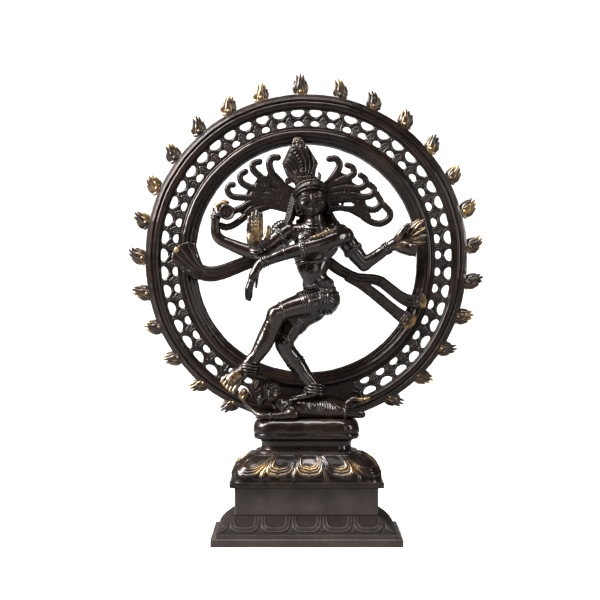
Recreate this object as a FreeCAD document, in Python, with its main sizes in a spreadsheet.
"""Brass Nataraja statue, as the separate castings and fixings it is assembled from.

The statue stands on Z = 0 and faces -Y; X runs to the viewer's right. All sizes are millimetres.
Base: a hollow plinth, and a hollow lotus pedestal screwed down on it.
Aureole: a hoop of two rims with an openwork band between them and a row of flames outside.
Figure: the dancer's body, head, crown, hair, arms and sashes, standing on a prone dwarf.
"""
import FreeCAD, Part

import math
import os
import re

import Sketcher
from FreeCAD import Placement, Rotation, Vector

doc = FreeCAD.newDocument("Nataraja")

# ---------------------------------------------------------------------------------- driving dimensions

SIZES = {
    # plinth: foot slab, a step, a flared petal skirt and a plain dado
    "foot_width": 152.8, "foot_depth": 104.0, "foot_height": 5.9,
    "step_width": 144.6, "step_depth": 96.0, "step_height": 3.3,
    "skirt_width": 143.6, "skirt_depth": 95.0, "skirt_height": 13.8, "skirt_bulge": 3.4,
    "dado_width": 115.2, "dado_depth": 66.0, "dado_height": 21.7,
    "block_corner": 1.2, "plinth_wall": 4.0, "ledge_thick": 4.0,
    "window_width": 90.0, "window_depth": 42.0,
    # pedestal: slab, lotus cushion, neck, and a rolled top cushion
    "slab_width": 123.8, "slab_depth": 74.0, "slab_height": 4.5,
    "lotus_width": 122.0, "lotus_depth": 72.4, "lotus_height": 22.8, "lotus_corner": 12.0,
    "lotus_belly_rise": 11.0, "lotus_belly_width": 114.0, "lotus_belly_depth": 64.4,
    "lotus_top_width": 80.6, "lotus_top_depth": 47.4,
    "neck_width": 73.2, "neck_depth": 40.0, "neck_height": 9.6, "neck_corner": 11.0,
    "roll_width": 85.8, "roll_depth": 50.0, "roll_height": 7.4, "roll_corner": 14.0,
    "cap_width": 82.6, "cap_depth": 47.6, "cap_height": 9.6, "cap_bevel": 3.4,
    "hollow_rise": 14.1, "hollow_width": 60.0, "hollow_depth": 28.0, "top_plate": 4.0,
    # aureole hoop
    "hoop_radius": 132.4, "rim_inside": 122.7, "band_inside": 106.8, "opening_radius": 91.5,
    "rim_front": 3.0, "rim_thick": 10.0, "rim_round": 2.4,
    "band_front": 5.8, "band_thick": 4.4,
    "hole_pitch": 7.2, "hole_count": 44.0,
    "outer_hole_width": 10.2, "outer_hole_low": 114.3, "outer_hole_high": 120.2,
    "inner_hole_width": 7.6, "inner_hole_low": 107.9, "inner_hole_high": 112.0,
    # aureole flames
    "flame_count": 25.0, "flame_pitch": 12.53, "flame_middle": 92.0,
    "flame_height": 17.0, "top_flame_height": 19.1,
    "flame_width": 12.6, "flame_thick": 8.0, "flame_lean": 4.6, "flame_root": 1.4,
    # fixings
    "screw_radius": 2.0, "screw_length": 10.0, "screw_head": 3.6, "screw_head_height": 2.4,
    "screw_spread": 49.0, "screw_reach": 25.0,
    "stud_radius": 2.5, "stud_length": 19.0, "stud_spread": 14.0, "stud_y": 8.0,
    "figure_stud_x": 5.0, "figure_stud_y": -9.0,
    "hole_clearance": 0.25, "nut_flats": 8.0, "nut_height": 4.0,
    # flat castings
    "lock_half_width": 1.9, "hair_front": -3.4, "hair_thick": 4.4,
    "sash_half_width": 3.7, "sash_front": -0.6, "sash_thick": 3.6,
    "crown_front": -9.0, "crown_thick": 12.0,
}

# Knuckles of each limb, from its root to its tip: x, y, z of the centre and the radius there.
LIMBS = {
    "neck": [(8.0, -8.0, 247.0, 8.0), (7.0, -9.0, 262.0, 6.4)],
    "raised_leg": [(15.0, -8.0, 193.0, 10.8), (-5.0, -16.0, 189.0, 9.2), (-26.5, -22.0, 183.5, 6.8),
                   (-31.0, -21.0, 170.0, 7.6), (-38.0, -20.0, 155.0, 6.3), (-44.5, -20.0, 142.5, 5.0)],
    "raised_foot": [(-45.5, -21.0, 140.5, 5.0), (-52.5, -24.5, 134.0, 5.6), (-60.0, -27.5, 127.5, 5.4)],
    "standing_leg": [(6.0, -6.0, 184.0, 10.4), (-7.0, -9.0, 174.0, 9.2), (-18.2, -13.0, 159.0, 7.4),
                     (-10.9, -10.5, 145.5, 7.8), (-2.0, -9.0, 135.0, 6.3), (4.0, -9.0, 126.0, 5.2)],
    "standing_foot": [(6.0, -8.0, 122.4, 5.8), (-3.0, -12.0, 117.8, 4.4), (-11.0, -15.0, 116.0, 3.2)],
    "blessing_arm": [(-16.0, -8.0, 249.0, 7.6), (-28.0, -13.0, 239.5, 6.6), (-38.0, -19.0, 232.5, 5.6),
                     (-40.5, -23.0, 243.0, 4.6), (-41.0, -24.0, 250.0, 5.4), (-40.0, -24.0, 263.0, 3.6)],
    "crossing_arm": [(28.0, -12.0, 245.0, 7.6), (10.0, -20.0, 239.0, 7.0), (-12.0, -24.0, 233.5, 6.0),
                     (-36.0, -24.5, 225.5, 4.7), (-43.0, -25.0, 214.0, 4.0), (-46.5, -25.0, 199.0, 3.0)],
    "drum_arm": [(-14.0, -3.0, 246.0, 7.0), (-36.0, -3.0, 233.5, 6.2), (-50.0, -3.0, 235.0, 5.6),
                 (-63.8, -3.0, 241.0, 4.9), (-72.5, -3.0, 248.0, 4.3), (-74.0, -3.5, 266.0, 4.0)],
    "flame_arm": [(30.0, -4.0, 244.0, 8.4), (38.0, -4.0, 234.0, 7.4), (46.8, -4.0, 226.5, 6.3),
                  (60.0, -5.0, 232.5, 4.9), (68.5, -6.0, 238.5, 4.2), (76.0, -6.0, 241.5, 6.0)],
    "hand_flame": [(78.0, -6.0, 243.0, 5.4), (86.0, -6.2, 246.0, 8.4), (92.0, -2.2, 253.0, 5.4),
                   (97.0, 0.0, 260.0, 2.4)],
    "dwarf_body": [(-16.0, -9.5, 107.4, 8.9), (0.0, -9.0, 105.6, 8.6), (15.0, -8.5, 105.6, 9.0),
                   (26.0, -8.0, 105.2, 7.8)],
    "dwarf_head": [(-20.0, -10.0, 113.0, 6.0), (-29.0, -12.0, 119.0, 8.6)],
    "dwarf_arm": [(-16.0, -13.0, 110.0, 5.4), (-11.0, -19.0, 103.5, 4.2), (-30.0, -18.0, 100.5, 3.2)],
    "dwarf_leg": [(24.0, -10.0, 106.5, 7.0), (33.0, -8.0, 105.5, 5.2), (36.0, -3.0, 112.5, 4.0),
                  (43.0, -3.0, 112.0, 3.2)],
    "cobra": [(-33.0, -17.0, 101.6, 2.8), (-41.0, -11.0, 103.5, 2.4), (-46.7, -7.5, 108.2, 2.4),
              (-51.0, -6.5, 113.2, 2.8), (-51.6, -6.5, 119.6, 3.9)],
}

# Cross-sections of the trunk, from the hips up: x of the middle, y, z, half width and half depth.
TRUNK = [(12.0, -7.0, 180.0, 9.5, 8.0), (14.0, -6.5, 187.5, 13.6, 9.6), (15.0, -6.5, 195.0, 14.2, 9.8),
         (12.0, -7.0, 204.5, 13.6, 9.0), (6.5, -7.5, 215.0, 13.2, 8.4), (5.0, -8.0, 226.0, 15.4, 9.2),
         (9.0, -8.0, 239.0, 20.2, 9.6), (8.0, -7.5, 249.0, 22.0, 8.4), (7.5, -7.5, 254.5, 13.0, 6.5)]

# Hair locks, as the middle line of each flat curl from the head to its tip: x, z.
DRUM_SIDE_LOCKS = [
    [(-6.0, 284.0), (-17.5, 283.0), (-25.0, 292.0), (-29.6, 301.0), (-28.6, 308.5), (-23.0, 310.0)],
    [(-6.0, 281.5), (-21.5, 281.0), (-34.0, 290.5), (-41.5, 299.0), (-41.8, 307.0), (-37.0, 307.8)],
    [(-6.0, 278.5), (-25.5, 277.5), (-40.0, 285.5), (-50.5, 289.0), (-53.4, 296.5), (-49.5, 299.5)],
    [(-6.0, 275.5), (-30.0, 275.0), (-45.0, 277.5), (-58.0, 278.0), (-64.4, 284.0), (-60.0, 289.0)],
    [(-6.0, 272.5), (-20.0, 271.5), (-37.0, 272.8), (-47.5, 269.0), (-56.0, 265.0), (-62.0, 262.0)],
    [(-6.0, 270.0), (-22.0, 269.0), (-37.0, 270.2), (-49.0, 264.5), (-57.0, 257.0), (-68.5, 254.8)],
]
FLAME_SIDE_LOCKS = [
    [(12.0, 284.0), (18.5, 293.5), (24.0, 299.0), (28.0, 305.5), (24.5, 311.0), (18.0, 310.0)],
    [(12.0, 281.0), (27.0, 291.5), (35.0, 295.0), (38.8, 300.0), (36.5, 304.0), (32.5, 305.0)],
    [(12.0, 278.5), (32.0, 286.5), (43.5, 286.5), (49.3, 290.5), (47.6, 295.0), (43.8, 296.0)],
    [(12.0, 276.0), (34.0, 280.5), (44.0, 278.0), (51.0, 279.0), (55.0, 284.0), (52.8, 288.0)],
    [(12.0, 273.0), (36.0, 275.0), (47.0, 271.0), (56.0, 270.5), (60.0, 276.0), (57.5, 281.0)],
    [(12.0, 270.0), (35.5, 268.6), (45.0, 264.0), (54.0, 258.5), (66.5, 259.0), (69.0, 266.0),
     (64.5, 272.0)],
]

# Outline of the solid root of each hair fan, where its locks lie side by side: x, z.
DRUM_SIDE_ROOT = [(-6.0, 285.5), (-17.5, 283.5), (-25.0, 291.0), (-31.0, 291.5), (-37.0, 285.0),
                  (-38.0, 277.5), (-36.0, 271.5), (-20.0, 269.5), (-6.0, 269.0)]
FLAME_SIDE_ROOT = [(12.0, 285.5), (19.5, 293.0), (26.0, 294.5), (33.0, 288.5), (38.0, 282.0),
                   (38.5, 274.5), (34.0, 268.6), (12.0, 269.0)]

# Sashes, as the middle line of each flat strap from the waist outwards: x, z.
DRUM_SIDE_SASH = [[(-40.0, 227.5), (-52.0, 223.5), (-66.0, 218.0), (-78.5, 216.8), (-89.0, 220.5),
                   (-99.0, 226.0), (-106.0, 230.0)], [(-89.0, 221.0), (-99.0, 231.5), (-106.0, 236.0)]]
FLAME_SIDE_SASH = [[(14.0, 226.5), (28.0, 217.5), (40.0, 211.8), (53.5, 210.8), (64.0, 207.0),
                    (73.5, 200.0), (83.5, 194.5), (94.0, 193.0)],
                   [(40.0, 211.8), (55.5, 202.0), (66.5, 192.0), (76.0, 183.0), (85.5, 175.5)]]

# Outline of the fan-shaped crown: x, z.
CROWN_OUTLINE = [(-9.0, 293.0), (-13.8, 297.0), (-19.8, 306.0), (-17.4, 313.0), (-12.6, 319.0),
                 (-11.6, 325.5), (-3.0, 326.5), (2.2, 317.0), (9.4, 307.0), (6.6, 299.0), (11.5, 293.0)]

sheet = doc.addObject("Spreadsheet::Sheet", "Dimensions")
FIRST_ROW = 1


def add_cell(row, alias, value):
    """Writes one named number to the spreadsheet."""
    sheet.set("A%d" % row, alias)
    sheet.set("B%d" % row, str(value))
    sheet.setAlias("B%d" % row, alias)


def knuckle_alias(limb, index, part):
    return "%s_%d_%s" % (limb, index, part)


def fill_sheet():
    row = FIRST_ROW
    for alias, value in SIZES.items():
        add_cell(row, alias, value)
        row += 1
    for limb, knuckles in LIMBS.items():
        for index, knuckle in enumerate(knuckles):
            for part, value in zip(("across", "back", "up", "radius"), knuckle):
                add_cell(row, knuckle_alias(limb, index, part), value)
                row += 1
    for index, section in enumerate(TRUNK):
        for part, value in zip(("across", "back", "up", "half_width", "half_depth"), section):
            add_cell(row, knuckle_alias("trunk", index, part), value)
            row += 1


fill_sheet()
doc.recompute()


def size(alias):
    return float(sheet.get(alias))


def ref(expression):
    """Turns the alias names in an expression into references to the spreadsheet."""
    return re.sub(r"[A-Za-z]\w*\b(?!\()", r"Dimensions.\g<0>", expression)


def bind(obj, prop, expression):
    obj.setExpression(prop, ref(expression))


def evaluate(expression):
    """The number that an expression of aliases stands for."""
    return float(sheet.evalExpression(ref(expression)))


# ---------------------------------------------------------------------------------------- sketch helpers

def origin_plane(body, role):
    return next(f for f in body.Origin.OriginFeatures if f.Role == role)


def new_body(label):
    body = doc.addObject("PartDesign::Body", label)
    body.Label = label
    return body


def new_sketch(body, name, plane="XY_Plane", level="0", turn=0.0):
    """A sketch on one of the body's origin planes; on XY it is lifted to the level."""
    sketch = body.newObject("Sketcher::SketchObject", name)
    sketch.AttachmentSupport = [(origin_plane(body, plane), "")]
    sketch.MapMode = "FlatFace"
    if plane == "XY_Plane":
        sketch.AttachmentOffset = Placement(Vector(0, 0, evaluate(level)), Rotation())
        bind(sketch, "AttachmentOffset.Base.z", level)
    else:
        sketch.AttachmentOffset = Placement(Vector(0, evaluate(level), 0), Rotation(Vector(0, 0, 1), turn))
        bind(sketch, "AttachmentOffset.Base.y", level)
    return sketch


def drive(sketch, name, expression, kind, *places):
    """Adds a named dimension whose value follows the expression."""
    index = sketch.addConstraint(Sketcher.Constraint(kind, *places, evaluate(expression)))
    sketch.renameConstraint(index, name)
    bind(sketch, "Constraints." + name, expression)


def closed_outline(sketch, points):
    """Joins the points with lines, end to end."""
    count = len(points)
    for index, point in enumerate(points):
        after = points[(index + 1) % count]
        sketch.addGeometry(Part.LineSegment(Vector(*point, 0), Vector(*after, 0)), False)
    for index in range(count):
        sketch.addConstraint(Sketcher.Constraint("Coincident", index, 2, (index + 1) % count, 1))


def rounded_rectangle(body, name, width, depth, corner, level):
    """A rectangle about the origin with round corners, its sizes bound to the sheet."""
    sketch = new_sketch(body, name, level=level)
    half_w, half_d, radius = evaluate(width) / 2, evaluate(depth) / 2, evaluate(corner)
    inner_w, inner_d = half_w - radius, half_d - radius
    lines = [((-inner_w, -half_d), (inner_w, -half_d)), ((half_w, -inner_d), (half_w, inner_d)),
             ((inner_w, half_d), (-inner_w, half_d)), ((-half_w, inner_d), (-half_w, -inner_d))]
    centres = [(inner_w, -inner_d), (inner_w, inner_d), (-inner_w, inner_d), (-inner_w, -inner_d)]
    for index in range(4):
        start, end = lines[index]
        sketch.addGeometry(Part.LineSegment(Vector(*start, 0), Vector(*end, 0)), False)
        circle = Part.Circle(Vector(*centres[index], 0), Vector(0, 0, 1), radius)
        begin = math.radians(-90 + 90 * index)
        sketch.addGeometry(Part.ArcOfCircle(circle, begin, begin + math.pi / 2), False)
    constraints = []
    for index in range(4):
        line, arc, following = 2 * index, 2 * index + 1, (2 * index + 2) % 8
        constraints.append(Sketcher.Constraint("Tangent", line, 2, arc, 1))
        constraints.append(Sketcher.Constraint("Tangent", arc, 2, following, 1))
    constraints.append(Sketcher.Constraint("Horizontal", 0))
    constraints.append(Sketcher.Constraint("Vertical", 2))
    for arc in (3, 5, 7):
        constraints.append(Sketcher.Constraint("Equal", 1, arc))
    constraints.append(Sketcher.Constraint("Symmetric", 0, 1, 4, 1, -1, 1))
    sketch.addConstraint(constraints)
    drive(sketch, "across", width, "DistanceX", 6, 1, 2, 1)
    drive(sketch, "deep", depth, "DistanceY", 0, 1, 4, 1)
    drive(sketch, "corner", corner, "Radius", 1)
    return sketch


def pad(body, sketch, length):
    feature = body.newObject("PartDesign::Pad", sketch.Name + "Pad")
    feature.Profile = sketch
    feature.Length = evaluate(length)
    bind(feature, "Length", length)
    return feature


def pocket_up(body, sketch, length):
    """Cuts from the sketch upwards, against a downward-looking face."""
    feature = body.newObject("PartDesign::Pocket", sketch.Name + "Pocket")
    feature.Profile = sketch
    feature.Length = evaluate(length)
    feature.Reversed = True
    bind(feature, "Length", length)
    return feature


def loft(body, sections, name):
    feature = body.newObject("PartDesign::AdditiveLoft", name)
    feature.Profile = sections[0]
    feature.Sections = sections[1:]
    return feature


def round_holes(body, name, centres, radius, level, length):
    """Round pockets bored upwards from the level, one at each centre."""
    sketch = new_sketch(body, name, level=level)
    for index, (x, y) in enumerate(centres):
        circle = Part.Circle(Vector(evaluate(x), evaluate(y), 0), Vector(0, 0, 1), evaluate(radius))
        sketch.addGeometry(circle, False)
        drive(sketch, "radius_%d" % index, radius, "Radius", index)
    return pocket_up(body, sketch, length)


# ----------------------------------------------------------------------------------------------- the base

STEP_LEVEL = "foot_height"
SKIRT_LEVEL = "foot_height + step_height"
DADO_LEVEL = "foot_height + step_height + skirt_height"
SLAB_LEVEL = DADO_LEVEL + " + dado_height"
LOTUS_LEVEL = SLAB_LEVEL + " + slab_height"
NECK_LEVEL = LOTUS_LEVEL + " + lotus_height"
ROLL_LEVEL = NECK_LEVEL + " + neck_height"
CAP_LEVEL = ROLL_LEVEL + " + roll_height"
TOP_LEVEL = CAP_LEVEL + " + cap_height"
TOP_PLATE_LEVEL = TOP_LEVEL + " - top_plate"

SCREW_PLACES = [(sx + " screw_spread", sy + " screw_reach") for sx in "+-" for sy in "+-"]
STUD_PLACES = [("+ stud_spread", "stud_y"), ("- stud_spread", "stud_y")]


def make_plinth():
    """Foot slab, step, flared skirt and dado, open underneath, with a ledge for the pedestal's screws."""
    body = new_body("plinth")
    foot = rounded_rectangle(body, "Foot", "foot_width", "foot_depth", "block_corner", "0")
    pad(body, foot, "foot_height")
    step = rounded_rectangle(body, "Step", "step_width", "step_depth", "block_corner", STEP_LEVEL)
    pad(body, step, "step_height")
    doc.recompute()
    low = rounded_rectangle(body, "SkirtLow", "skirt_width", "skirt_depth", "block_corner", SKIRT_LEVEL)
    high = rounded_rectangle(body, "SkirtHigh", "dado_width", "dado_depth", "block_corner", DADO_LEVEL)
    loft(body, [low, high], "Skirt")
    dado = rounded_rectangle(body, "Dado", "dado_width", "dado_depth", "block_corner", DADO_LEVEL)
    pad(body, dado, "dado_height")
    inside = rounded_rectangle(body, "Hollow", "dado_width - plinth_wall - plinth_wall",
                               "dado_depth - plinth_wall - plinth_wall", "block_corner", "0")
    pocket_up(body, inside, SLAB_LEVEL + " - ledge_thick")
    window = rounded_rectangle(body, "Window", "window_width", "window_depth", "block_corner", "0")
    pocket_up(body, window, SLAB_LEVEL)
    round_holes(body, "ScrewHoles", SCREW_PLACES, "screw_radius + hole_clearance", "0", SLAB_LEVEL)
    return body


def make_pedestal():
    """Slab, lotus, neck and rolled top, hollow underneath, tapped for screws and bored for studs."""
    body = new_body("lotus_pedestal")
    slab = rounded_rectangle(body, "Slab", "slab_width", "slab_depth", "block_corner", SLAB_LEVEL)
    pad(body, slab, "slab_height")
    low = rounded_rectangle(body, "LotusLow", "lotus_width", "lotus_depth", "lotus_corner", LOTUS_LEVEL)
    middle = rounded_rectangle(body, "LotusBelly", "lotus_belly_width", "lotus_belly_depth", "lotus_corner",
                               LOTUS_LEVEL + " + lotus_belly_rise")
    high = rounded_rectangle(body, "LotusHigh", "lotus_top_width", "lotus_top_depth", "lotus_corner",
                             NECK_LEVEL)
    loft(body, [low, middle, high], "Lotus")
    neck = rounded_rectangle(body, "Neck", "neck_width", "neck_depth", "neck_corner", NECK_LEVEL)
    pad(body, neck, "neck_height")
    roll = rounded_rectangle(body, "Roll", "roll_width", "roll_depth", "roll_corner", ROLL_LEVEL)
    pad(body, roll, "roll_height")
    cap = rounded_rectangle(body, "Cap", "cap_width", "cap_depth", "roll_corner", CAP_LEVEL)
    cap_pad = pad(body, cap, "cap_height")
    doc.recompute()
    top = max(cap_pad.Shape.Faces, key=lambda face: face.CenterOfMass.z)
    edges = ["Edge%d" % (index + 1) for index, edge in enumerate(cap_pad.Shape.Edges)
             if all(abs(vertex.Z - top.CenterOfMass.z) < 0.01 for vertex in edge.Vertexes)]
    bevel = body.newObject("PartDesign::Chamfer", "CapBevel")
    bevel.Base = (cap_pad, edges)
    bevel.Size = size("cap_bevel")
    bind(bevel, "Size", "cap_bevel")
    wide = rounded_rectangle(body, "WideHollow", "window_width", "window_depth", "block_corner", SLAB_LEVEL)
    pocket_up(body, wide, "hollow_rise")
    narrow = rounded_rectangle(body, "NarrowHollow", "hollow_width", "hollow_depth", "block_corner",
                               SLAB_LEVEL)
    pocket_up(body, narrow, "%s - (%s)" % (TOP_PLATE_LEVEL, SLAB_LEVEL))
    round_holes(body, "TappedHoles", SCREW_PLACES, "screw_radius", SLAB_LEVEL, "screw_length - ledge_thick")
    round_holes(body, "StudHoles", STUD_PLACES + [("figure_stud_x", "figure_stud_y")],
                "stud_radius + hole_clearance", SLAB_LEVEL, "%s - (%s)" % (TOP_LEVEL, SLAB_LEVEL))
    return body


# -------------------------------------------------------------------------------------------- the aureole

HOOP_LEVEL = TOP_LEVEL + " + hoop_radius"


def turned_band(body, name, outside, inside, front, thick):
    """A ring of rectangular section, turned about the aureole's axis, which is the sketch's H axis."""
    sketch = new_sketch(body, name + "_profile", plane="YZ_Plane", level=HOOP_LEVEL)
    near, far = size(front), size(front) + size(thick)
    low, high = size(inside), size(outside)
    closed_outline(sketch, [(near, low), (far, low), (far, high), (near, high)])
    sketch.addConstraint([Sketcher.Constraint("Horizontal", 0), Sketcher.Constraint("Vertical", 1),
                          Sketcher.Constraint("Horizontal", 2), Sketcher.Constraint("Vertical", 3)])
    drive(sketch, "front", front, "DistanceX", -1, 1, 0, 1)
    drive(sketch, "thick", thick, "DistanceX", 0, 1, 0, 2)
    drive(sketch, "inside", inside, "DistanceY", -1, 1, 0, 1)
    drive(sketch, "outside", outside, "DistanceY", -1, 1, 2, 1)
    turned = body.newObject("PartDesign::Revolution", name + "_turned")
    turned.Profile = sketch
    turned.ReferenceAxis = (sketch, ["H_Axis"])
    turned.Angle = 360.0
    doc.recompute()
    return turned


def make_rim(label, outside, inside):
    """A hoop of rounded rectangular section, turned about the aureole's axis."""
    body = new_body(label)
    turned = turned_band(body, label, outside, inside, "rim_front", "rim_thick")
    fillet = body.newObject("PartDesign::Fillet", label + "_round")
    fillet.Base = (turned, ["Edge%d" % (i + 1) for i, edge in enumerate(turned.Shape.Edges)
                            if edge.Closed and isinstance(edge.Curve, Part.Circle)])
    fillet.Radius = size("rim_round")
    bind(fillet, "Radius", "rim_round")
    return body


def bowed_hole(sketch, width, flat, crown):
    """A D-shaped hole: a straight side at one height and an arc rising or dipping to the other."""
    half, straight, peak = size(width) / 2, size(flat), size(crown)
    sketch.addGeometry(Part.LineSegment(Vector(-half, straight, 0), Vector(half, straight, 0)), False)
    arc = Part.Arc(Vector(half, straight, 0), Vector(0, peak, 0), Vector(-half, straight, 0))
    sketch.addGeometry(arc, False)
    start, end = (1, 2) if peak > straight else (2, 1)
    sketch.addConstraint([Sketcher.Constraint("Coincident", 0, 2, 1, start),
                          Sketcher.Constraint("Coincident", 0, 1, 1, end),
                          Sketcher.Constraint("Symmetric", 0, 1, 0, 2, -2)])
    drive(sketch, "width", width, "DistanceX", 0, 1, 0, 2)
    drive(sketch, "flat", flat, "DistanceY", -1, 1, 0, 1)
    rise = "abs(%s - %s)" % (crown, flat)
    drive(sketch, "bow", "%s / 8 / %s * %s + %s / 2" % (width, rise, width, rise), "Radius", 1)


def make_openwork():
    """The flat band between the rims, pierced by two rows of holes that stop behind the dwarf."""
    body = new_body("aureole_openwork")
    turned_band(body, "band", "rim_inside", "band_inside", "band_front", "band_thick")
    count, pitch = int(size("hole_count")), size("hole_pitch")
    first_turn = -pitch * (count - 1) / 2
    for name, width, flat, crown in (
            ("OuterHole", "outer_hole_width", "outer_hole_high", "outer_hole_low"),
            ("InnerHole", "inner_hole_width", "inner_hole_low", "inner_hole_high")):
        sketch = new_sketch(body, name, plane="XZ_Plane", level=HOOP_LEVEL, turn=first_turn)
        bowed_hole(sketch, width, flat, crown)
        hole = body.newObject("PartDesign::Pocket", name + "Cut")
        hole.Profile = sketch
        hole.Type = "ThroughAll"
        doc.recompute()
        row = body.newObject("PartDesign::PolarPattern", name + "Row")
        row.Originals = [hole]
        row.Axis = (sketch, ["N_Axis"])
        row.Angle = pitch * (count - 1)
        row.Occurrences = count
        bind(row, "Angle", "hole_pitch * (hole_count - 1)")
        body.Tip = row
        doc.recompute()
    return body


def make_flame_pattern(label, height, lean):
    """One flame, upright on the hoop's rim, its tongues drawn to one side by the lean."""
    body = new_body(label)
    sketch = new_sketch(body, label + "_outline", plane="XZ_Plane", level="0")
    base, half = size("hoop_radius") - size("flame_root"), size("flame_width") / 2
    outline = [(-0.5, 0.0), (-0.95, 0.35), (-0.9, 0.62), (-0.62, 0.55), (-0.5, 0.85), (-0.15, 0.72),
               (0.0, 1.0), (0.2, 0.74), (0.5, 0.86), (0.6, 0.55), (0.9, 0.6), (0.95, 0.35), (0.5, 0.0)]
    closed_outline(sketch, [(x * half + lean * up * up, base + up * height) for x, up in outline])
    slab = body.newObject("PartDesign::Pad", label + "_pad")
    slab.Profile = sketch
    slab.Midplane = True
    slab.Length = size("flame_thick")
    bind(slab, "Length", "flame_thick")
    return body


def make_flames():
    """Every flame round the rim as its own solid; the tongues lean towards the top of the hoop."""
    lean = size("flame_lean")
    height = size("flame_height")
    patterns = {-1: make_flame_pattern("flame_left", height, lean),
                0: make_flame_pattern("flame_top", size("top_flame_height"), 0.0),
                1: make_flame_pattern("flame_right", height, -lean)}
    doc.recompute()
    count, pitch, middle = int(size("flame_count")), size("flame_pitch"), size("flame_middle")
    axis_height = evaluate(HOOP_LEVEL)
    rim_middle = evaluate("rim_front") + size("rim_thick") / 2
    links = []
    for index in range(count):
        step = index - (count - 1) // 2
        side = (step < 0) - (step > 0)
        link = doc.addObject("App::Link", "flame_%02d" % (index + 1))
        link.LinkedObject = patterns[side]
        turn = Rotation(Vector(0, -1, 0), middle + step * pitch - 90)
        link.Placement = Placement(Vector(0, rim_middle, axis_height), turn)
        links.append(link)
    group = doc.addObject("Part::Compound", "flame_row")
    group.Links = links
    return group


# ------------------------------------------------------------------------------------------- the fixings

def cylinder(name, radius, height, place):
    """An upright cylinder; place gives the expressions for its foot."""
    rod = doc.addObject("Part::Cylinder", name)
    bind(rod, "Radius", radius)
    bind(rod, "Height", height)
    rod.Placement = Placement(Vector(*[evaluate(value) for value in place]), Rotation())
    for axis, value in zip("xyz", place):
        bind(rod, "Placement.Base." + axis, value)
    return rod


def fuse(label, shapes):
    group = doc.addObject("Part::MultiFuse", label)
    group.Shapes = shapes
    return group


def compound(label, shapes):
    group = doc.addObject("Part::Compound", label)
    group.Links = shapes
    group.Label = label
    return group


def cut(label, base, tool):
    result = doc.addObject("Part::Cut", label)
    result.Base = base
    result.Tool = tool
    result.Label = label
    return result


def make_screws():
    """Pan-head machine screws from under the plinth's ledge up into the pedestal's slab."""
    screws = []
    under_ledge = SLAB_LEVEL + " - ledge_thick"
    for index, (x, y) in enumerate(SCREW_PLACES):
        shank = cylinder("screw_shank_%d" % index, "screw_radius", "screw_length", (x, y, under_ledge))
        head = cylinder("screw_head_%d" % index, "screw_head", "screw_head_height",
                        (x, y, under_ledge + " - screw_head_height"))
        screws.append(fuse("plinth_screw_%d" % index, [shank, head]))
    return compound("plinth_screws", screws)


def make_nut(name, place):
    """A hexagon nut with a bore that clears the stud's crests."""
    blank = doc.addObject("Part::Prism", name + "_blank")
    blank.Polygon = 6
    bind(blank, "Circumradius", "nut_flats / 1.732")
    bind(blank, "Height", "nut_height")
    blank.Placement = Placement(Vector(*[evaluate(value) for value in place]), Rotation())
    bore = cylinder(name + "_bore", "stud_radius", "nut_height", place)
    return cut(name, blank, bore)


UNDER_TOP_PLATE = TOP_PLATE_LEVEL + " - nut_height"
STUD_FOOT = UNDER_TOP_PLATE + " - hole_clearance"


def make_studs():
    aureole = [cylinder("aureole_stud_%d" % i, "stud_radius", "stud_length", (x, y, STUD_FOOT))
               for i, (x, y) in enumerate(STUD_PLACES)]
    aureole_nuts = [make_nut("aureole_nut_%d" % i, (x, y, UNDER_TOP_PLATE))
                    for i, (x, y) in enumerate(STUD_PLACES)]
    figure_place = ("figure_stud_x", "figure_stud_y")
    stud = cylinder("figure_stud", "stud_radius", "stud_length", figure_place + (STUD_FOOT,))
    nut = make_nut("figure_nut", figure_place + (UNDER_TOP_PLATE,))
    return (compound("aureole_studs", aureole), compound("aureole_nuts", aureole_nuts), stud, nut)


# -------------------------------------------------------------------------------------------- the figure

OVERLAP = 1.02  # a knuckle is this much larger than the cone ends it covers


def limb_parts(limb):
    """The spheres and tapered lengths that one limb is made of; each sphere's poles lie along the limb."""
    knuckles = LIMBS[limb]
    centres = [Vector(*knuckle[:3]) for knuckle in knuckles]
    parts = []
    for index, centre in enumerate(centres):
        along = centres[min(index + 1, len(centres) - 1)] - centres[max(index - 1, 0)]
        ball = doc.addObject("Part::Sphere", "%s_knuckle_%d" % (limb, index))
        bind(ball, "Radius", "%s * %s" % (knuckle_alias(limb, index, "radius"), OVERLAP))
        ball.Placement = Placement(centre, Rotation(Vector(0, 0, 1), along))
        for axis, part in zip("xyz", ("across", "back", "up")):
            bind(ball, "Placement.Base." + axis, knuckle_alias(limb, index, part))
        parts.append(ball)
    for index in range(len(knuckles) - 1):
        start, end = centres[index], centres[index + 1]
        length = doc.addObject("Part::Cone", "%s_length_%d" % (limb, index))
        bind(length, "Radius1", knuckle_alias(limb, index, "radius"))
        bind(length, "Radius2", knuckle_alias(limb, index + 1, "radius"))
        steps = ["(%s - %s) ^ 2" % (knuckle_alias(limb, index + 1, part), knuckle_alias(limb, index, part))
                 for part in ("across", "back", "up")]
        bind(length, "Height", "sqrt(%s)" % " + ".join(steps))
        length.Placement = Placement(start, Rotation(Vector(0, 0, 1), end - start))
        parts.append(length)
    return parts


def make_trunk():
    """A loft through upright ellipses from the hips to the base of the neck."""
    rings = []
    for index, (x, y, z, _, _) in enumerate(TRUNK):
        ring = doc.addObject("Part::Ellipse", "trunk_ring_%d" % index)
        bind(ring, "MajorRadius", knuckle_alias("trunk", index, "half_width"))
        bind(ring, "MinorRadius", knuckle_alias("trunk", index, "half_depth"))
        ring.Placement = Placement(Vector(x, y, z), Rotation())
        rings.append(ring)
    trunk = doc.addObject("Part::Loft", "trunk")
    trunk.Sections = rings
    trunk.Solid = True
    return trunk


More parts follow.
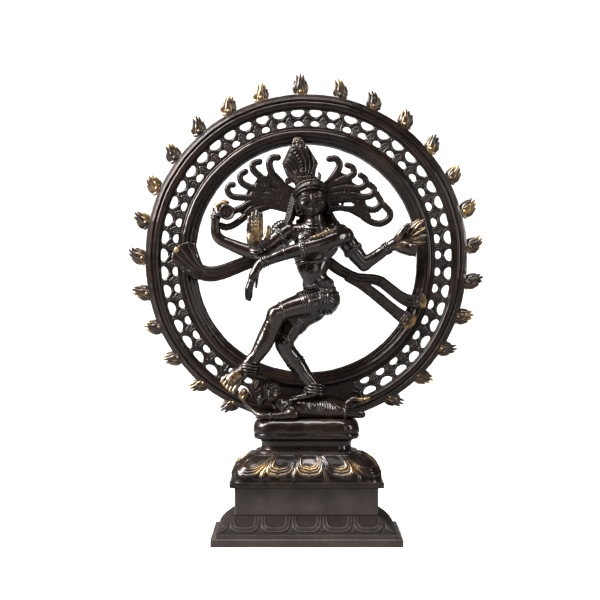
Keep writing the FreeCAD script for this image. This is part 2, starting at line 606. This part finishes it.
def make_body():
    shapes = [make_trunk()]
    for limb in ("neck", "raised_leg", "raised_foot", "standing_leg", "standing_foot"):
        shapes += limb_parts(limb)
    body = fuse("figure_body", shapes)
    body.Label = "figure_body"
    return body


def make_limb(limb, tools):
    """One limb, cut to fit against the castings it is brazed to."""
    return cut(limb, fuse(limb + "_blank", limb_parts(limb)), tools)


def ellipsoid(name, centre, half_sizes):
    """Half sizes are across, deep and up."""
    ball = doc.addObject("Part::Ellipsoid", name)
    ball.Radius1 = half_sizes[2]
    ball.Radius2 = half_sizes[0]
    ball.Radius3 = half_sizes[1]
    ball.Placement = Placement(Vector(*centre), Rotation())
    return ball


def make_head(body):
    """Skull, jaw and ears."""
    skull = ellipsoid("skull", (4.2, -8.5, 279.0), (13.6, 12.0, 13.4))
    jaw = ellipsoid("jaw", (5.6, -11.0, 270.5), (9.8, 8.6, 10.2))
    return cut("head", fuse("head_blank", [skull, jaw]), body)


def path_sketch(name, points, level, closed=False):
    """A path of straight lengths in the XZ plane, at a distance along Y."""
    points = points + points[:1] if closed else points
    sketch = doc.addObject("Sketcher::SketchObject", name)
    for start, end in zip(points, points[1:]):
        sketch.addGeometry(Part.LineSegment(Vector(*start, 0), Vector(*end, 0)), False)
    for index in range(len(points) - 2):
        sketch.addConstraint(Sketcher.Constraint("Coincident", index, 2, index + 1, 1))
    if closed:
        sketch.addConstraint(Sketcher.Constraint("Coincident", sketch.GeometryCount - 1, 2, 0, 1))
    sketch.Placement = Placement(Vector(0, evaluate(level), 0), Rotation(Vector(1, 0, 0), 90))
    bind(sketch, "Placement.Base.y", level)
    return sketch


def strap(name, points, half_width, front, thick):
    """A flat bar of even width that follows a path, with round ends and joins."""
    offset = doc.addObject("Part::Offset2D", name + "_outline")
    offset.Source = path_sketch(name + "_path", points, front)
    offset.Mode = "Pipe"
    offset.Join = "Arc"
    offset.Fill = True
    offset.Value = size(half_width)
    bind(offset, "Value", half_width)
    return extrude(name, offset, thick)


def extrude(name, face, thick):
    bar = doc.addObject("Part::Extrusion", name)
    bar.Base = face
    bar.DirMode = "Custom"
    bar.Dir = Vector(0, 1, 0)
    bar.Solid = True
    bar.LengthFwd = size(thick)
    bind(bar, "LengthFwd", thick)
    return bar


def straps(label, paths, half_width, front, thick):
    bars = [strap("%s_%d" % (label, i), path, half_width, front, thick) for i, path in enumerate(paths)]
    return fuse(label + "_blank", bars)


def make_hair(label, locks, root, tools):
    """A flat fan of locks that spring from one solid root, cut to fit round its neighbours."""
    bars = straps(label + "_locks", locks, "lock_half_width", "hair_front", "hair_thick")
    web = extrude(label + "_root", path_sketch(label + "_root_outline", root, "hair_front", closed=True),
                  "hair_thick")
    return cut(label, fuse(label + "_blank", [bars, web]), fuse(label + "_seat", tools))


def make_crown(head):
    """The fan-shaped crown, a flat casting with a bud on top."""
    outline = path_sketch("crown_outline", CROWN_OUTLINE, "crown_front", closed=True)
    fan = extrude("crown_fan", outline, "crown_thick")
    return cut("crown", fan, head)


def make_dwarf(body, below):
    shapes = []
    for limb in ("dwarf_body", "dwarf_head", "dwarf_arm", "dwarf_leg"):
        shapes += limb_parts(limb)
    return cut("dwarf_seated", fuse("dwarf_blank", shapes), fuse("dwarf_clearance", [body, below]))


def pedestal_block():
    """Everything below the pedestal's top, as a tool that trims what rests on it."""
    block = doc.addObject("Part::Box", "below_top")
    block.Length, block.Width = 2 * size("foot_width"), 2 * size("foot_width")
    bind(block, "Height", TOP_LEVEL)
    block.Placement = Placement(Vector(-size("foot_width"), -size("foot_width"), 0), Rotation())
    return block


# --------------------------------------------------------------------------------------------- assembly

def build():
    """Makes every casting and fixing, trimmed where one is seated against another."""
    plinth, pedestal = make_plinth(), make_pedestal()
    outer_rim = make_rim("outer_rim_blank", "hoop_radius", "rim_inside")
    inner_rim = make_rim("aureole_inner_rim", "band_inside", "opening_radius")
    openwork = make_openwork()
    flame_row = make_flames()
    screws = make_screws()
    aureole_studs, aureole_nuts, figure_stud, figure_nut = make_studs()
    doc.recompute()

    outer_rim = cut("aureole_outer_rim", outer_rim, aureole_studs)
    flames = cut("aureole_flames", flame_row, outer_rim)
    body = make_body()
    head = make_head(body)
    crown = make_crown(head)
    below = pedestal_block()
    dwarf = cut("dwarf", make_dwarf(body, below), figure_stud)
    cobra = make_limb("cobra", fuse("cobra_seat", [dwarf, below]))

    blessing_arm = make_limb("blessing_arm", body)
    crossing_arm = make_limb("crossing_arm", fuse("crossing_seat", [body, blessing_arm]))
    drum_arm = make_limb("drum_arm", fuse("drum_arm_seat", [body, blessing_arm, crossing_arm]))
    flame_arm = make_limb("flame_arm", fuse("flame_arm_seat", [body, crossing_arm]))
    hand_flame = make_limb("hand_flame", fuse("hand_flame_seat", [flame_arm, inner_rim]))
    drum = cut("hand_drum", ellipsoid("drum_blank", (-65.0, -4.0, 266.0), (7.0, 6.6, 6.6)), drum_arm)

    drum_side_hair = make_hair("drum_side_hair", DRUM_SIDE_LOCKS, DRUM_SIDE_ROOT,
                               [head, crown, body, drum, drum_arm, blessing_arm])
    flame_side_hair = make_hair("flame_side_hair", FLAME_SIDE_LOCKS, FLAME_SIDE_ROOT, [head, crown, body])
    drum_side_sash = cut("drum_side_sash", straps("drum_side_strap", DRUM_SIDE_SASH, "sash_half_width",
                                                  "sash_front", "sash_thick"),
                         fuse("drum_sash_seat", [body, drum_arm, blessing_arm, crossing_arm]))
    flame_side_sash = cut("flame_side_sash", straps("flame_side_strap", FLAME_SIDE_SASH, "sash_half_width",
                                                    "sash_front", "sash_thick"),
                          fuse("flame_sash_seat", [body, crossing_arm, flame_arm]))
    doc.recompute()
    return [plinth, pedestal, screws, outer_rim, openwork, inner_rim, flames, aureole_studs, aureole_nuts,
            dwarf, cobra, body, figure_stud, figure_nut, head, crown, blessing_arm, crossing_arm, drum_arm,
            drum, flame_arm, hand_flame, drum_side_hair, flame_side_hair, drum_side_sash, flame_side_sash]


def check_and_write(parts):
    """Refuses a failed object or a bad shape, then writes one STEP file per part."""
    failed = [obj.Label for obj in doc.Objects if {"Invalid", "Error"} & set(obj.State)]
    if failed:
        raise SystemExit("failed objects: %s" % failed)
    os.makedirs("parts", exist_ok=True)
    for part in parts:
        shape = part.Shape
        if shape.isNull() or not shape.isValid() or not shape.Solids:
            raise SystemExit("bad shape: %s" % part.Label)
        print("%-20s %2d solids %10.0f mm3" % (part.Label, len(shape.Solids), shape.Volume))
        shape.exportStep(os.path.join("parts", part.Label + ".step"))


check_and_write(build())
